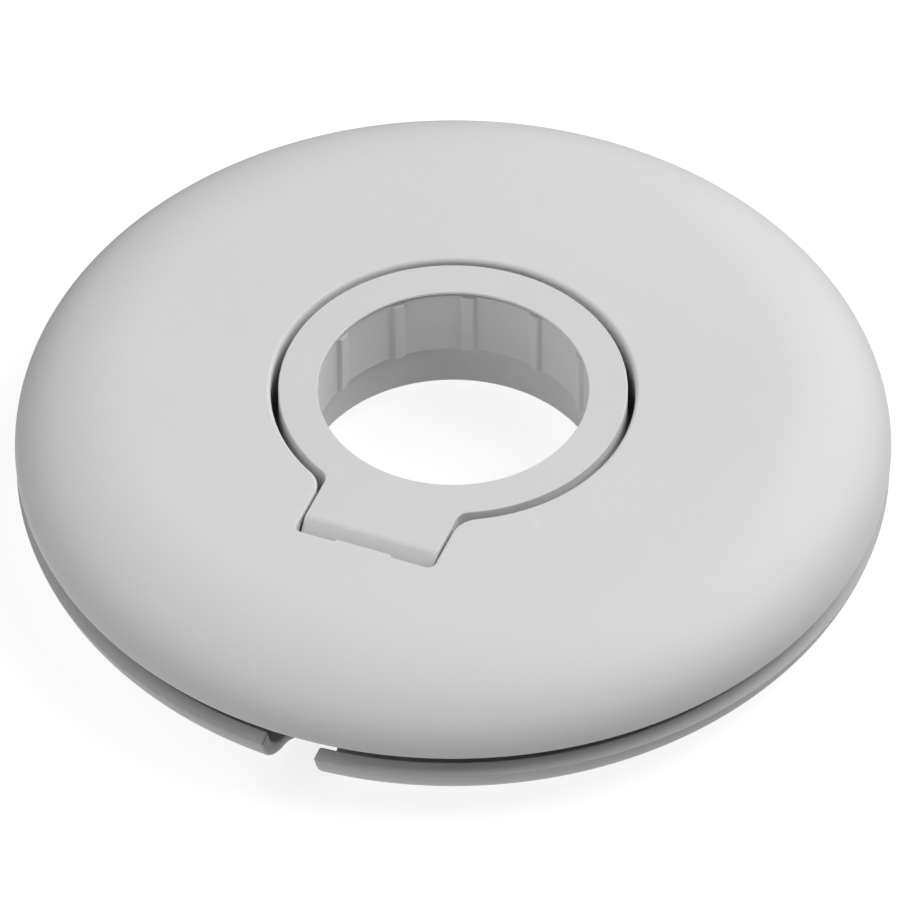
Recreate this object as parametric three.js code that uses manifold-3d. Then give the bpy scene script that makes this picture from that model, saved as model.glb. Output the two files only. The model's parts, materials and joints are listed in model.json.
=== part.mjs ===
// A desk holder for a round charging puck, with a hidden cord winder.
//
// A flip-up ring with a ribbed rubber sleeve grips the puck in the middle of a domed shell. The ring is
// hinged at the end of its tab, so it can stand upright. Spare cord is wound on a hub under the shell,
// behind the upturned lip of a soft skirt, and leaves through a notch in that lip.
//
// Millimetres, +Z up. The origin is on the desk, on the axis of the disc. -Y points at the tab and the notch.

import * as THREE from "three";
import { mergeVertices } from "three/addons/utils/BufferGeometryUtils.js";
import Module from "manifold-3d";

const wasm = await Module();
wasm.setup();

// ---------------------------------------------------------------- driving dimensions

const HEIGHT = 17; // desk to the flat top
const OUTER_RADIUS = 45.4;
const GAP = 0.15; // running and assembly clearance between pieces
const LARGE_ROUND = 80; // sides of the large circles
const MEDIUM_ROUND = 60;
const SMALL_ROUND = 14; // sides of screws, pins and bosses

const PUCK_RADIUS = 14; // the charging puck that the sleeve grips

const SHELL = {
  wall: 1.8,
  flatRadius: 33, // the top is flat out to here
  widestZ: 9.4,
  rimBottom: 9.1,
  wellWall: 1.4,
  wellBottom: 8.1,
  bossRadius: 2.6,
  bossBottom: 2.8,
};
const CEILING = HEIGHT - SHELL.wall;

const RING = {
  radius: 18.05,
  pocketRadius: 15.4, // seat of the rubber sleeve
  lipThickness: 0.5, // the ring's top covers the end of the sleeve
  edgeChamfer: 0.2,
  depth: 8.7,
  tabHalfWidth: 7.3,
  cornerFillet: 1.5, // where the tab meets the ring
};
const RING_BOTTOM = HEIGHT - RING.depth;

const HINGE = {
  y: -22.5,
  barrelRadius: 2,
  barrelCorner: 0.6, // rounding of the tab's end, seen from above
  slopeTilt: 46, // the barrel's upper outer corner is cut flat at this many degrees
  slopeDistance: 1.535, // from the hinge's axis to that flat
  pinRadius: 0.8,
  pinHalfLength: 10.4,
  bushRadius: 1.25,
  bushLength: 2,
};
const HINGE_Z = HEIGHT - HINGE.barrelRadius;

const WELL = {
  radius: 19,
  tabHalfWidth: 7.6,
  cornerFillet: 3.2,
  end: 25.05, // distance of the end wall from the disc's axis
  padDepth: 0.35, // the middle of the end wall stands this far towards the barrel
  padHalfWidth: 3.2,
};

const SLEEVE = {
  wallRadius: 14.4,
  ribCount: 12,
  ribWidth: 1.6,
  flangeRadius: 15.85,
  flangeThickness: 0.65,
};

const BACK_PLATE = { thickness: 1, innerRadius: 15.4 }; // closes the underside of the ring

const COLLAR = {
  radius: 15.55, // wall of the hole under the ring
  wall: 1.35,
  bottom: 2.35,
  floorTop: 7.8, // floor of the well
  floorThickness: 1.2,
  floorRadius: 20.4,
  footRadius: 19, // it stands on the hub's plate with this
  footThickness: 0.9,
};

const HUB = {
  plateBottom: 1,
  plateThickness: 1.6,
  holeRadius: 17.05,
  chamfer: 0.6,
  wallInner: 28.6,
  wallOuter: 30,
  flangeRadius: 32,
};
const PLATE_TOP = HUB.plateBottom + HUB.plateThickness;

const SKIRT = {
  bottom: 0.3,
  thickness: 1.5,
  flatRadius: 36.9, // the flat bottom ends here
  bulge: 1.9, // exponent of the lip's curve, where 2 is an ellipse
  widestRadius: 45.37,
  widestZ: 7.5, // where the lip's curve would stand upright
  lipTop: 7,
  lipEdgeRadius: 45.28,
  lipEdgeZ: 6.55,
  lipThickness: 1.7,
  innerRadius: 30.3,
  innerTop: 4.1,
  rampStart: 33.7,
  rampEnd: 35.1,
  notchHalfWidth: 3,
  notchDepth: 36.5, // the notch reaches in to this distance from the axis
};

const FOOT = { innerRadius: 19.6, outerRadius: 28.8, thickness: 0.85 };

const CORD_WAY = { halfWidth: 2.4, height: 4.1 }; // for the puck's cord, under the tab

const CLAMP = {
  bottom: 10.6,
  thickness: 1.5,
  halfLength: 9.3,
  nearY: -20.6,
  farY: -25,
  screwX: 12.6,
  screwY: -21.4,
  earRadius: 2.1,
};
const CLAMP_TOP = CLAMP.bottom + CLAMP.thickness;

const BASE_SCREW = { x: 18.4, y: 15.4, headRadius: 2.1, headHeight: 1.1, shankRadius: 1.1, length: 8 };
const CLAMP_SCREW = { headRadius: 1.7, headHeight: 0.9, shankRadius: 0.85, length: 4.4 };
const RING_SCREW = { circleRadius: 16.85, headRadius: 0.85, headHeight: 0.5, shankRadius: 0.5, length: 4 };
const RING_SCREW_ANGLES = [30, 90, 150]; // degrees from +X, clear of the tab

const SPRING = { halfWidth: 4.5, halfSpan: 1.8, rise: 0.35, thickness: 0.3 };

// ---------------------------------------------------------------- materials

const shellPlastic = new THREE.MeshStandardMaterial({ color: 0xd9d9d8, roughness: 0.55 });
const ringPlastic = new THREE.MeshStandardMaterial({ color: 0xd6d6d5, roughness: 0.5 });
const softRubber = new THREE.MeshStandardMaterial({ color: 0xc6c6c5, roughness: 0.8 });
const footRubber = new THREE.MeshStandardMaterial({ color: 0x8e8f90, roughness: 0.9 });
const acetal = new THREE.MeshStandardMaterial({ color: 0xeeece6, roughness: 0.4 });
const steel = new THREE.MeshStandardMaterial({ color: 0xa9acb0, roughness: 0.35, metalness: 1 });

// ---------------------------------------------------------------- solids and geometries

// A closed three.js geometry as a manifold-3d solid.
function solid(geometry) {
  const bare = geometry.index ? geometry.toNonIndexed() : geometry.clone();
  bare.deleteAttribute("normal");
  bare.deleteAttribute("uv");
  const merged = mergeVertices(bare, 1e-4);
  return new wasm.Manifold(
    new wasm.Mesh({
      numProp: 3,
      vertProperties: new Float32Array(merged.attributes.position.array),
      triVerts: new Uint32Array(merged.index.array),
    }),
  );
}

// A manifold-3d solid as a named three.js mesh.
function piece(name, made, material) {
  const mesh = made.getMesh();
  const geometry = new THREE.BufferGeometry();
  geometry.setAttribute("position", new THREE.BufferAttribute(new Float32Array(mesh.vertProperties), 3));
  geometry.setIndex(new THREE.BufferAttribute(new Uint32Array(mesh.triVerts), 1));
  geometry.computeVertexNormals();
  const result = new THREE.Mesh(geometry, material);
  result.name = name;
  return result;
}

// A ring turned about Z from an outline of [radius, z] points that runs anticlockwise.
function turned(outline, sides) {
  const points = [...outline, outline[0]].map(([radius, z]) => new THREE.Vector2(radius, z));
  return solid(new THREE.LatheGeometry(points, sides).rotateX(Math.PI / 2));
}

// A body turned about Z whose outline starts and ends on the axis.
function turnedOnAxis(outline, sides) {
  const points = outline.map(([radius, z]) => new THREE.Vector2(radius, z));
  return solid(new THREE.LatheGeometry(points, sides).rotateX(Math.PI / 2));
}

function prism(shape, bottom, top, curveSegments = 12) {
  const options = { depth: top - bottom, bevelEnabled: false, curveSegments };
  return solid(new THREE.ExtrudeGeometry(shape, options).translate(0, 0, bottom));
}

// A prism along X whose shape is drawn in Y and Z.
function alongX(shape, fromX, toX) {
  const geometry = new THREE.ExtrudeGeometry(shape, { depth: toX - fromX, bevelEnabled: false });
  return solid(geometry.rotateX(Math.PI / 2).rotateZ(Math.PI / 2).translate(fromX, 0, 0));
}

function box([lowX, lowY, lowZ], [highX, highY, highZ]) {
  const size = [highX - lowX, highY - lowY, highZ - lowZ];
  const middle = [(highX + lowX) / 2, (highY + lowY) / 2, (highZ + lowZ) / 2];
  return solid(new THREE.BoxGeometry(...size).translate(...middle));
}

// An upright cylinder.
function post(x, y, radius, bottom, top, sides = SMALL_ROUND) {
  const geometry = new THREE.CylinderGeometry(radius, radius, top - bottom, sides);
  return solid(geometry.rotateX(Math.PI / 2).translate(x, y, (top + bottom) / 2));
}

// A cylinder along X on the hinge's axis.
function axle(radius, fromX, toX, sides = SMALL_ROUND) {
  const geometry = new THREE.CylinderGeometry(radius, radius, toX - fromX, sides);
  return solid(geometry.rotateZ(Math.PI / 2).translate((toX + fromX) / 2, HINGE.y, HINGE_Z));
}

const radians = (degrees) => (degrees * Math.PI) / 180;

// Points of a quarter superellipse, from its side (angle 0) to its top or bottom (angle 90).
function quarterCurve(centreRadius, centreZ, halfWidth, halfHeight, steps, exponent = 2) {
  return Array.from({ length: steps + 1 }, (_, i) => {
    const angle = (i / steps) * (Math.PI / 2);
    const across = Math.max(Math.cos(angle), 0) ** (2 / exponent);
    const up = Math.sin(angle) ** (2 / exponent);
    return [centreRadius + halfWidth * across, centreZ + halfHeight * up];
  });
}

// Points along an arc in the XY plane, from one angle in radians to another.
function arc(x, y, radius, from, to, steps) {
  return Array.from({ length: steps + 1 }, (_, i) => {
    const angle = from + ((to - from) * i) / steps;
    return new THREE.Vector2(x + radius * Math.cos(angle), y + radius * Math.sin(angle));
  });
}

// A circle that runs into a straight-sided tab towards -Y, with a fillet in each corner.
function keyhole(radius, halfWidth, fillet, end, corner) {
  const filletX = halfWidth + fillet;
  const filletY = -Math.sqrt((radius + fillet) ** 2 - filletX ** 2);
  const turn = Math.atan2(-filletY, filletX); // from the fillet's centre back to the disc's axis
  const quarter = Math.PI / 2;
  const cornerX = halfWidth - corner;
  return new THREE.Shape([
    ...arc(0, 0, radius, -turn, Math.PI + turn, 54),
    ...arc(-filletX, filletY, fillet, turn, 0, 5).slice(1),
    ...arc(-cornerX, corner - end, corner, 2 * quarter, 3 * quarter, 3),
    ...arc(cornerX, corner - end, corner, -quarter, 0, 3),
    ...arc(filletX, filletY, fillet, Math.PI, Math.PI - turn, 5).slice(0, -1),
  ]);
}

// A countersunk screw that points up from its head's face at z = 0, with a cross in the head.
function screw(name, { headRadius, headHeight, shankRadius, length }) {
  const body = turnedOnAxis(
    [
      [0, 0],
      [headRadius, 0],
      [headRadius, headHeight * 0.25],
      [shankRadius, headHeight],
      [shankRadius, length - shankRadius],
      [0, length],
    ],
    SMALL_ROUND,
  );
  const arm = headRadius * 0.6;
  const slot = headRadius * 0.16;
  const depth = headHeight * 0.6;
  const cross = box([-arm, -slot, -1], [arm, slot, depth]).add(box([-slot, -arm, -1], [slot, arm, depth]));
  return piece(name, body.subtract(cross), steel);
}

// The room for such a screw: its countersink and a hole that clears its shank.
function screwRoom({ headRadius, headHeight, shankRadius, length }) {
  const head = headRadius + GAP;
  const shank = shankRadius + GAP;
  const outline = [
    [0, -1],
    [head, -1],
    [head, headHeight * 0.25 + GAP],
    [shank, headHeight + 2 * GAP],
    [shank, length + 2 * GAP],
    [0, length + 2 * GAP],
  ];
  return turnedOnAxis(outline, SMALL_ROUND);
}

// ---------------------------------------------------------------- fixed pieces

const baseScrewPlaces = [
  [BASE_SCREW.x, BASE_SCREW.y],
  [-BASE_SCREW.x, BASE_SCREW.y],
  [-BASE_SCREW.x, -BASE_SCREW.y],
  [BASE_SCREW.x, -BASE_SCREW.y],
];
const clampScrewPlaces = [
  [CLAMP.screwX, CLAMP.screwY],
  [-CLAMP.screwX, CLAMP.screwY],
];
// The domed cover: flat in the middle and a quarter ellipse to the rim.
function dome() {
  const width = OUTER_RADIUS - SHELL.flatRadius;
  const drop = HEIGHT - SHELL.widestZ;
  const innerWidth = width - SHELL.wall;
  const innerDrop = drop - SHELL.wall;
  const outer = quarterCurve(SHELL.flatRadius, SHELL.widestZ, width, drop, 8);
  const inner = quarterCurve(SHELL.flatRadius, SHELL.widestZ, innerWidth, innerDrop, 4).reverse();
  const outline = [
    [RING.radius - 2, HEIGHT],
    [RING.radius - 2, CEILING],
    ...inner,
    [OUTER_RADIUS - SHELL.wall, SHELL.rimBottom],
    [OUTER_RADIUS - 0.25, SHELL.rimBottom],
    ...outer,
  ];
  return turned(outline, LARGE_ROUND);
}

function topShell() {
  const wallShape = keyhole(
    WELL.radius + SHELL.wellWall,
    WELL.tabHalfWidth + SHELL.wellWall,
    WELL.cornerFillet,
    WELL.end + SHELL.wellWall,
    1,
  );
  const wellShape = keyhole(WELL.radius, WELL.tabHalfWidth, WELL.cornerFillet, WELL.end, 0.8);
  const cradleX = WELL.tabHalfWidth;
  const cradleEnd = HINGE.pinHalfLength + 0.3;
  const slotHalf = HINGE.pinRadius + GAP;
  let made = dome().add(prism(wallShape, SHELL.wellBottom, CEILING + 0.5));
  for (const side of [-1, 1]) {
    const nearX = side * cradleX;
    const farX = side * cradleEnd;
    const cradle = box(
      [Math.min(nearX, farX), CLAMP.farY, CLAMP_TOP + GAP],
      [Math.max(nearX, farX), CLAMP.nearY + 0.4, CEILING + 0.5],
    );
    made = made.add(cradle);
  }
  for (const [x, y] of baseScrewPlaces) {
    made = made.add(post(x, y, SHELL.bossRadius, SHELL.bossBottom, CEILING + 0.5));
  }
  for (const [x, y] of clampScrewPlaces) {
    made = made.add(post(x, y, CLAMP.earRadius, CLAMP_TOP + GAP, CEILING + 0.5));
  }
  // The well that the ring lies in, and the gate under its tab for the clamp and the cord.
  made = made.subtract(prism(wellShape, 0, HEIGHT + 1));
  made = made.subtract(box([-11, -28, 0], [11, -19.2, CLAMP_TOP + GAP]));
  const pad = box(
    [-WELL.padHalfWidth, -WELL.end - 0.5, CLAMP_TOP + GAP],
    [WELL.padHalfWidth, -WELL.end + WELL.padDepth, HEIGHT],
  );
  made = made.add(pad);
  // The pin drops into its cradles from below.
  made = made.subtract(axle(slotHalf, -HINGE.pinHalfLength - GAP, HINGE.pinHalfLength + GAP));
  made = made.subtract(
    box(
      [-HINGE.pinHalfLength - GAP, HINGE.y - slotHalf, CLAMP.bottom],
      [HINGE.pinHalfLength + GAP, HINGE.y + slotHalf, HINGE_Z],
    ),
  );
  for (const [x, y] of baseScrewPlaces) {
    made = made.subtract(screwRoom(BASE_SCREW).translate(x, y, HUB.plateBottom));
  }
  for (const [x, y] of clampScrewPlaces) {
    made = made.subtract(screwRoom(CLAMP_SCREW).translate(x, y, CLAMP.bottom));
  }
  return piece("top_shell", made, shellPlastic);
}

// The wall of the hole under the ring, with the floor of the well round its top.
function holeCollar() {
  const outer = COLLAR.radius + COLLAR.wall;
  const footBottom = PLATE_TOP + GAP;
  const footTop = footBottom + COLLAR.footThickness;
  const floorBottom = COLLAR.floorTop - COLLAR.floorThickness;
  const outline = [
    [COLLAR.radius, COLLAR.floorTop],
    [COLLAR.radius, COLLAR.bottom],
    [outer, COLLAR.bottom],
    [outer, footBottom],
    [COLLAR.footRadius, footBottom],
    [COLLAR.footRadius, footTop],
    [outer, footTop],
    [outer, floorBottom],
    [COLLAR.floorRadius, floorBottom],
    [COLLAR.floorRadius, COLLAR.floorTop],
  ];
  return piece("hole_collar", turned(outline, MEDIUM_ROUND), shellPlastic);
}

// The spool: a plate, the wall that the cord winds on, and a flange for the skirt.
function spoolHub() {
  const outline = [
    [HUB.holeRadius, PLATE_TOP],
    [HUB.holeRadius, HUB.plateBottom + HUB.chamfer],
    [HUB.holeRadius + HUB.chamfer, HUB.plateBottom],
    [HUB.flangeRadius, HUB.plateBottom],
    [HUB.flangeRadius, PLATE_TOP],
    [HUB.wallOuter, PLATE_TOP],
    [HUB.wallOuter, CEILING - GAP],
    [HUB.wallInner, CEILING - GAP],
    [HUB.wallInner, PLATE_TOP],
  ];
  let made = turned(outline, MEDIUM_ROUND);
  for (const [x, y] of baseScrewPlaces) {
    made = made.subtract(screwRoom(BASE_SCREW).translate(x, y, HUB.plateBottom));
  }
  // The puck's cord reaches the winding space through this window, under the tab.
  const windowHalf = CORD_WAY.halfWidth + 0.6;
  made = made.subtract(box([-windowHalf, -32, PLATE_TOP + 1.6], [windowHalf, -24, CLAMP.bottom]));
  return piece("spool_hub", made, shellPlastic);
}

// The soft skirt: a groove that grips the hub's flange, a floor, and a lip that turns up to the shell's rim.
function cordSkirt() {
  const floorTop = SKIRT.bottom + SKIRT.thickness;
  const width = SKIRT.widestRadius - SKIRT.flatRadius;
  const innerWidth = width - SKIRT.lipThickness;
  const { flatRadius, widestZ, bulge } = SKIRT;
  const outer = quarterCurve(flatRadius, widestZ, width, SKIRT.bottom - widestZ, 9, bulge)
    .reverse()
    .filter(([, z]) => z < SKIRT.lipEdgeZ - 0.3);
  const inner = quarterCurve(flatRadius, widestZ, innerWidth, floorTop - widestZ, 5, bulge)
    .filter(([, z]) => z < SKIRT.lipTop - 0.3);
  const grooveRadius = HUB.flangeRadius + GAP;
  const outline = [
    [SKIRT.innerRadius, SKIRT.bottom],
    ...outer,
    [SKIRT.lipEdgeRadius, SKIRT.lipEdgeZ],
    [SKIRT.widestRadius - SKIRT.lipThickness, SKIRT.lipTop],
    ...inner,
    [SKIRT.rampEnd, floorTop],
    [SKIRT.rampStart, SKIRT.innerTop],
    [SKIRT.innerRadius, SKIRT.innerTop],
    [SKIRT.innerRadius, PLATE_TOP + GAP],
    [grooveRadius, PLATE_TOP + GAP],
    [grooveRadius, HUB.plateBottom - GAP],
    [SKIRT.innerRadius, HUB.plateBottom - GAP],
  ];
  const notch = new THREE.Shape();
  notch.absarc(0, -SKIRT.notchDepth - SKIRT.notchHalfWidth, SKIRT.notchHalfWidth, 0, Math.PI, false);
  notch.lineTo(-SKIRT.notchHalfWidth, -OUTER_RADIUS - 2);
  notch.lineTo(SKIRT.notchHalfWidth, -OUTER_RADIUS - 2);
  notch.closePath();
  const made = turned(outline, LARGE_ROUND).subtract(prism(notch, -1, HEIGHT, 8));
  return piece("cord_skirt", made, softRubber);
}

function footRing() {
  const outline = [
    [FOOT.innerRadius, 0],
    [FOOT.outerRadius, 0],
    [FOOT.outerRadius, FOOT.thickness],
    [FOOT.innerRadius, FOOT.thickness],
  ];
  return piece("foot_ring", turned(outline, MEDIUM_ROUND), footRubber);
}

function hingePin() {
  const made = axle(HINGE.pinRadius, -HINGE.pinHalfLength, HINGE.pinHalfLength);
  return piece("hinge_pin", made, steel);
}

// The bar under the hinge: two posts hold the pin up in the shell's cradles.
function hingeClamp() {
  let made = box([-CLAMP.halfLength, CLAMP.farY, CLAMP.bottom], [CLAMP.halfLength, CLAMP.nearY, CLAMP_TOP]);
  for (const side of [-1, 1]) {
    const earX = side * CLAMP.screwX;
    const joinX = side * (CLAMP.halfLength - 1);
    const ear = post(earX, CLAMP.screwY, CLAMP.earRadius, CLAMP.bottom, CLAMP_TOP);
    const join = box(
      [Math.min(earX, joinX), CLAMP.screwY - 2, CLAMP.bottom],
      [Math.max(earX, joinX), CLAMP.screwY + CLAMP.earRadius - 0.4, CLAMP_TOP],
    );
    const postNear = side * (WELL.tabHalfWidth + 0.4);
    const postFar = side * (HINGE.pinHalfLength - 0.2);
    const support = box(
      [Math.min(postNear, postFar), HINGE.y - HINGE.pinRadius + 0.1, CLAMP_TOP - 0.5],
      [Math.max(postNear, postFar), HINGE.y + HINGE.pinRadius - 0.1, HINGE_Z - HINGE.pinRadius - 0.1],
    );
    made = made.add(ear).add(join).add(support);
  }
  for (const [x, y] of clampScrewPlaces) {
    made = made.subtract(screwRoom(CLAMP_SCREW).translate(x, y, CLAMP.bottom));
  }
  return piece("hinge_clamp", made, acetal);
}

// The bowed leaf between the clamp and the barrel, whose rubbing holds the ring at any angle.
function frictionSpring() {
  const bowRadius = (SPRING.halfSpan ** 2 + SPRING.rise ** 2) / (2 * SPRING.rise);
  const bowAngle = Math.asin(SPRING.halfSpan / bowRadius);
  const centreZ = CLAMP_TOP + 0.1 + SPRING.thickness + SPRING.rise - bowRadius;
  const innerRadius = bowRadius - SPRING.thickness;
  const upright = Math.PI / 2;
  const shape = new THREE.Shape([
    ...arc(HINGE.y, centreZ, bowRadius, upright - bowAngle, upright + bowAngle, 6),
    ...arc(HINGE.y, centreZ, innerRadius, upright + bowAngle, upright - bowAngle, 6),
  ]);
  return piece("friction_spring", alongX(shape, -SPRING.halfWidth, SPRING.halfWidth), steel);
}

// ---------------------------------------------------------------- pieces that turn with the ring

const ringScrewPlaces = RING_SCREW_ANGLES.map((angle) => [
  RING_SCREW.circleRadius * Math.cos(radians(angle)),
  RING_SCREW.circleRadius * Math.sin(radians(angle)),
]);

// The slot for the puck's cord, open at the bottom of the ring and on the tab's side.
function cordSlot() {
  const half = CORD_WAY.halfWidth;
  return box([-half, -20, 0], [half, 0, RING_BOTTOM + CORD_WAY.height]);
}

// A bar across the whole ring, as thick as the tab. The tab's end is round about the hinge's axis, with a
// flat that slopes down from its top.
function tabBar() {
  const radius = HINGE.barrelRadius;
  const upright = Math.PI / 2;
  const slope = upright + radians(HINGE.slopeTilt);
  const halfFlat = Math.acos(HINGE.slopeDistance / radius);
  const shape = new THREE.Shape([
    new THREE.Vector2(RING.radius + 1, HINGE_Z - radius),
    new THREE.Vector2(RING.radius + 1, HINGE_Z + radius),
    ...arc(HINGE.y, HINGE_Z, radius, upright, slope - halfFlat, 1),
    ...arc(HINGE.y, HINGE_Z, radius, slope + halfFlat, 3 * upright, 7),
  ]);
  return alongX(shape, -RING.radius - 1, RING.radius + 1);
}

function flipRing() {
  const flangePocket = SLEEVE.flangeRadius + GAP;
  const bodyBottom = RING_BOTTOM + BACK_PLATE.thickness + GAP;
  const pocketTop = bodyBottom + SLEEVE.flangeThickness + GAP;
  const lipBottom = HEIGHT - RING.lipThickness;
  const tabEnd = HINGE.barrelRadius - HINGE.y;
  const plan = keyhole(RING.radius, RING.tabHalfWidth, RING.cornerFillet, tabEnd, HINGE.barrelCorner);
  const lowerBody = turnedOnAxis(
    [
      [0, bodyBottom],
      [RING.radius - 0.04, bodyBottom],
      [RING.radius - 0.04, HEIGHT - 1],
      [0, HEIGHT - 1],
    ],
    MEDIUM_ROUND,
  );
  const bore = turnedOnAxis(
    [
      [0, bodyBottom - 1],
      [flangePocket, bodyBottom - 1],
      [flangePocket, pocketTop],
      [RING.pocketRadius, pocketTop],
      [RING.pocketRadius, lipBottom],
      [PUCK_RADIUS, lipBottom],
      [PUCK_RADIUS, HEIGHT - RING.edgeChamfer],
      [PUCK_RADIUS + RING.edgeChamfer + 0.5, HEIGHT + 0.5],
      [0, HEIGHT + 0.5],
    ],
    MEDIUM_ROUND,
  );
  let made = prism(plan, RING_BOTTOM, HEIGHT + 1).intersect(tabBar()).add(lowerBody);
  made = made.subtract(bore).subtract(cordSlot());
  made = made.subtract(axle(HINGE.pinRadius + GAP, -RING.tabHalfWidth - 1, RING.tabHalfWidth + 1));
  for (const side of [-1, 1]) {
    const outerX = side * (RING.tabHalfWidth + 1);
    const innerX = side * (RING.tabHalfWidth - HINGE.bushLength - GAP);
    const seat = axle(HINGE.bushRadius + 0.08, Math.min(outerX, innerX), Math.max(outerX, innerX));
    made = made.subtract(seat);
  }
  for (const [x, y] of ringScrewPlaces) {
    made = made.subtract(screwRoom(RING_SCREW).translate(x, y, RING_BOTTOM));
  }
  return piece("flip_ring", made, ringPlastic);
}

// The rubber sleeve: a thin wall with upright ribs, and a flange that the back plate traps.
function gripSleeve() {
  const outer = RING.pocketRadius - GAP;
  const top = HEIGHT - RING.lipThickness - GAP;
  const flangeBottom = RING_BOTTOM + BACK_PLATE.thickness + GAP;
  const flangeTop = flangeBottom + SLEEVE.flangeThickness;
  const outline = [
    [SLEEVE.wallRadius, top],
    [SLEEVE.wallRadius, RING_BOTTOM],
    [outer, RING_BOTTOM],
    [outer, flangeBottom],
    [SLEEVE.flangeRadius, flangeBottom],
    [SLEEVE.flangeRadius, flangeTop],
    [outer, flangeTop],
    [outer, top],
  ];
  let made = turned(outline, MEDIUM_ROUND);
  for (let i = 0; i < SLEEVE.ribCount; i += 1) {
    const turn = ((i + 0.5) * 360) / SLEEVE.ribCount;
    const half = SLEEVE.ribWidth / 2;
    const shape = new THREE.Shape();
    shape.moveTo(SLEEVE.wallRadius + 0.3, -half);
    shape.lineTo(SLEEVE.wallRadius + 0.3, half);
    shape.lineTo(SLEEVE.wallRadius - 0.05, half);
    shape.lineTo(PUCK_RADIUS, half - 0.35);
    shape.lineTo(PUCK_RADIUS, -half + 0.35);
    shape.lineTo(SLEEVE.wallRadius - 0.05, -half);
    shape.closePath();
    made = made.add(prism(shape, RING_BOTTOM + 0.2, top - 0.3).rotate(0, 0, turn));
  }
  return piece("grip_sleeve", made.subtract(cordSlot()), softRubber);
}

// The flat ring that closes the underside and traps the sleeve's flange.
function backPlate() {
  const top = RING_BOTTOM + BACK_PLATE.thickness;
  const outline = [
    [BACK_PLATE.innerRadius, RING_BOTTOM],
    [RING.radius, RING_BOTTOM],
    [RING.radius, top],
    [BACK_PLATE.innerRadius, top],
  ];
  let made = turned(outline, MEDIUM_ROUND).subtract(cordSlot());
  for (const [x, y] of ringScrewPlaces) {
    made = made.subtract(screwRoom(RING_SCREW).translate(x, y, RING_BOTTOM));
  }
  return piece("ring_back_plate", made, ringPlastic);
}

function hingeBush(name, side) {
  const outerX = side * (RING.tabHalfWidth - 0.02);
  const innerX = side * (RING.tabHalfWidth - HINGE.bushLength);
  const low = Math.min(outerX, innerX);
  const high = Math.max(outerX, innerX);
  const made = axle(HINGE.bushRadius, low, high).subtract(axle(HINGE.pinRadius + 0.1, low - 1, high + 1));
  return piece(name, made, acetal);
}

// ---------------------------------------------------------------- assembly

// Adds one screw at each place, numbered from 1.
function addScrews(group, name, places, z, size) {
  places.forEach(([x, y], i) => {
    const mesh = screw(`${name}_${i + 1}`, size);
    mesh.position.set(x, y, z);
    group.add(mesh);
  });
}

const base = new THREE.Group();
base.add(topShell(), holeCollar(), spoolHub(), cordSkirt(), footRing());
base.add(hingePin(), hingeClamp(), frictionSpring());
addScrews(base, "base_screw", baseScrewPlaces, HUB.plateBottom, BASE_SCREW);
addScrews(base, "clamp_screw", clampScrewPlaces, CLAMP.bottom, CLAMP_SCREW);

const ring = new THREE.Group();
ring.add(flipRing(), gripSleeve(), backPlate());
ring.add(hingeBush("hinge_bush_left", -1), hingeBush("hinge_bush_right", 1));
addScrews(ring, "ring_screw", ringScrewPlaces, RING_BOTTOM, RING_SCREW);

const holder = new THREE.Group();
holder.add(base, ring);

export default holder;
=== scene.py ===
import json
import math

import bmesh
import bpy
import numpy as np
from mathutils import Matrix, Vector


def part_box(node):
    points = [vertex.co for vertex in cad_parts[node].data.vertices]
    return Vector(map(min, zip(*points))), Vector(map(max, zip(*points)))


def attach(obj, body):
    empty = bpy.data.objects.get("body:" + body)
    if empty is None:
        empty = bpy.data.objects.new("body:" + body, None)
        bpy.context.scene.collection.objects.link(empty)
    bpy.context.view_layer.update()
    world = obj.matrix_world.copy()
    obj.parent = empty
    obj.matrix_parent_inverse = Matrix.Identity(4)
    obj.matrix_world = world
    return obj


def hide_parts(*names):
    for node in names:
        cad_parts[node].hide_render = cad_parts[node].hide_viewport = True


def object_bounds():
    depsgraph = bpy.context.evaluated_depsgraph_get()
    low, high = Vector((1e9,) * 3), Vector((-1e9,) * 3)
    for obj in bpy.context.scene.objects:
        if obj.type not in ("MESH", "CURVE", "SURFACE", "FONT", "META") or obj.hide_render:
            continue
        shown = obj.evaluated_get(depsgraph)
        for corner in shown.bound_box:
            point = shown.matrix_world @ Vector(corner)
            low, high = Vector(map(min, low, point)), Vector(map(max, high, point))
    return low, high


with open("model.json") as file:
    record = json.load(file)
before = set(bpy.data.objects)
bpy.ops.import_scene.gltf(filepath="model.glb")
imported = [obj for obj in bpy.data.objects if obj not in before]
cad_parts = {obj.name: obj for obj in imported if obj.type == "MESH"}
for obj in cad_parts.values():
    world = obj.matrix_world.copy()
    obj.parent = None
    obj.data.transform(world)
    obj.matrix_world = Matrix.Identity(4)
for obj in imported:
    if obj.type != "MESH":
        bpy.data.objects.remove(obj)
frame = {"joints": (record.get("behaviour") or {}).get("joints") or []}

# Lengths are in millimetres in the part's own frame, and are scaled to metres when a mesh is made.
# Material sizes, such as bump depths, are in metres.
MM = 0.001
CAD_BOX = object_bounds()


def cad_box(node):
    """A node's lowest and highest corners in millimetres."""
    low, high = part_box(node)
    return np.array(low) / MM, np.array(high) / MM


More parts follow.
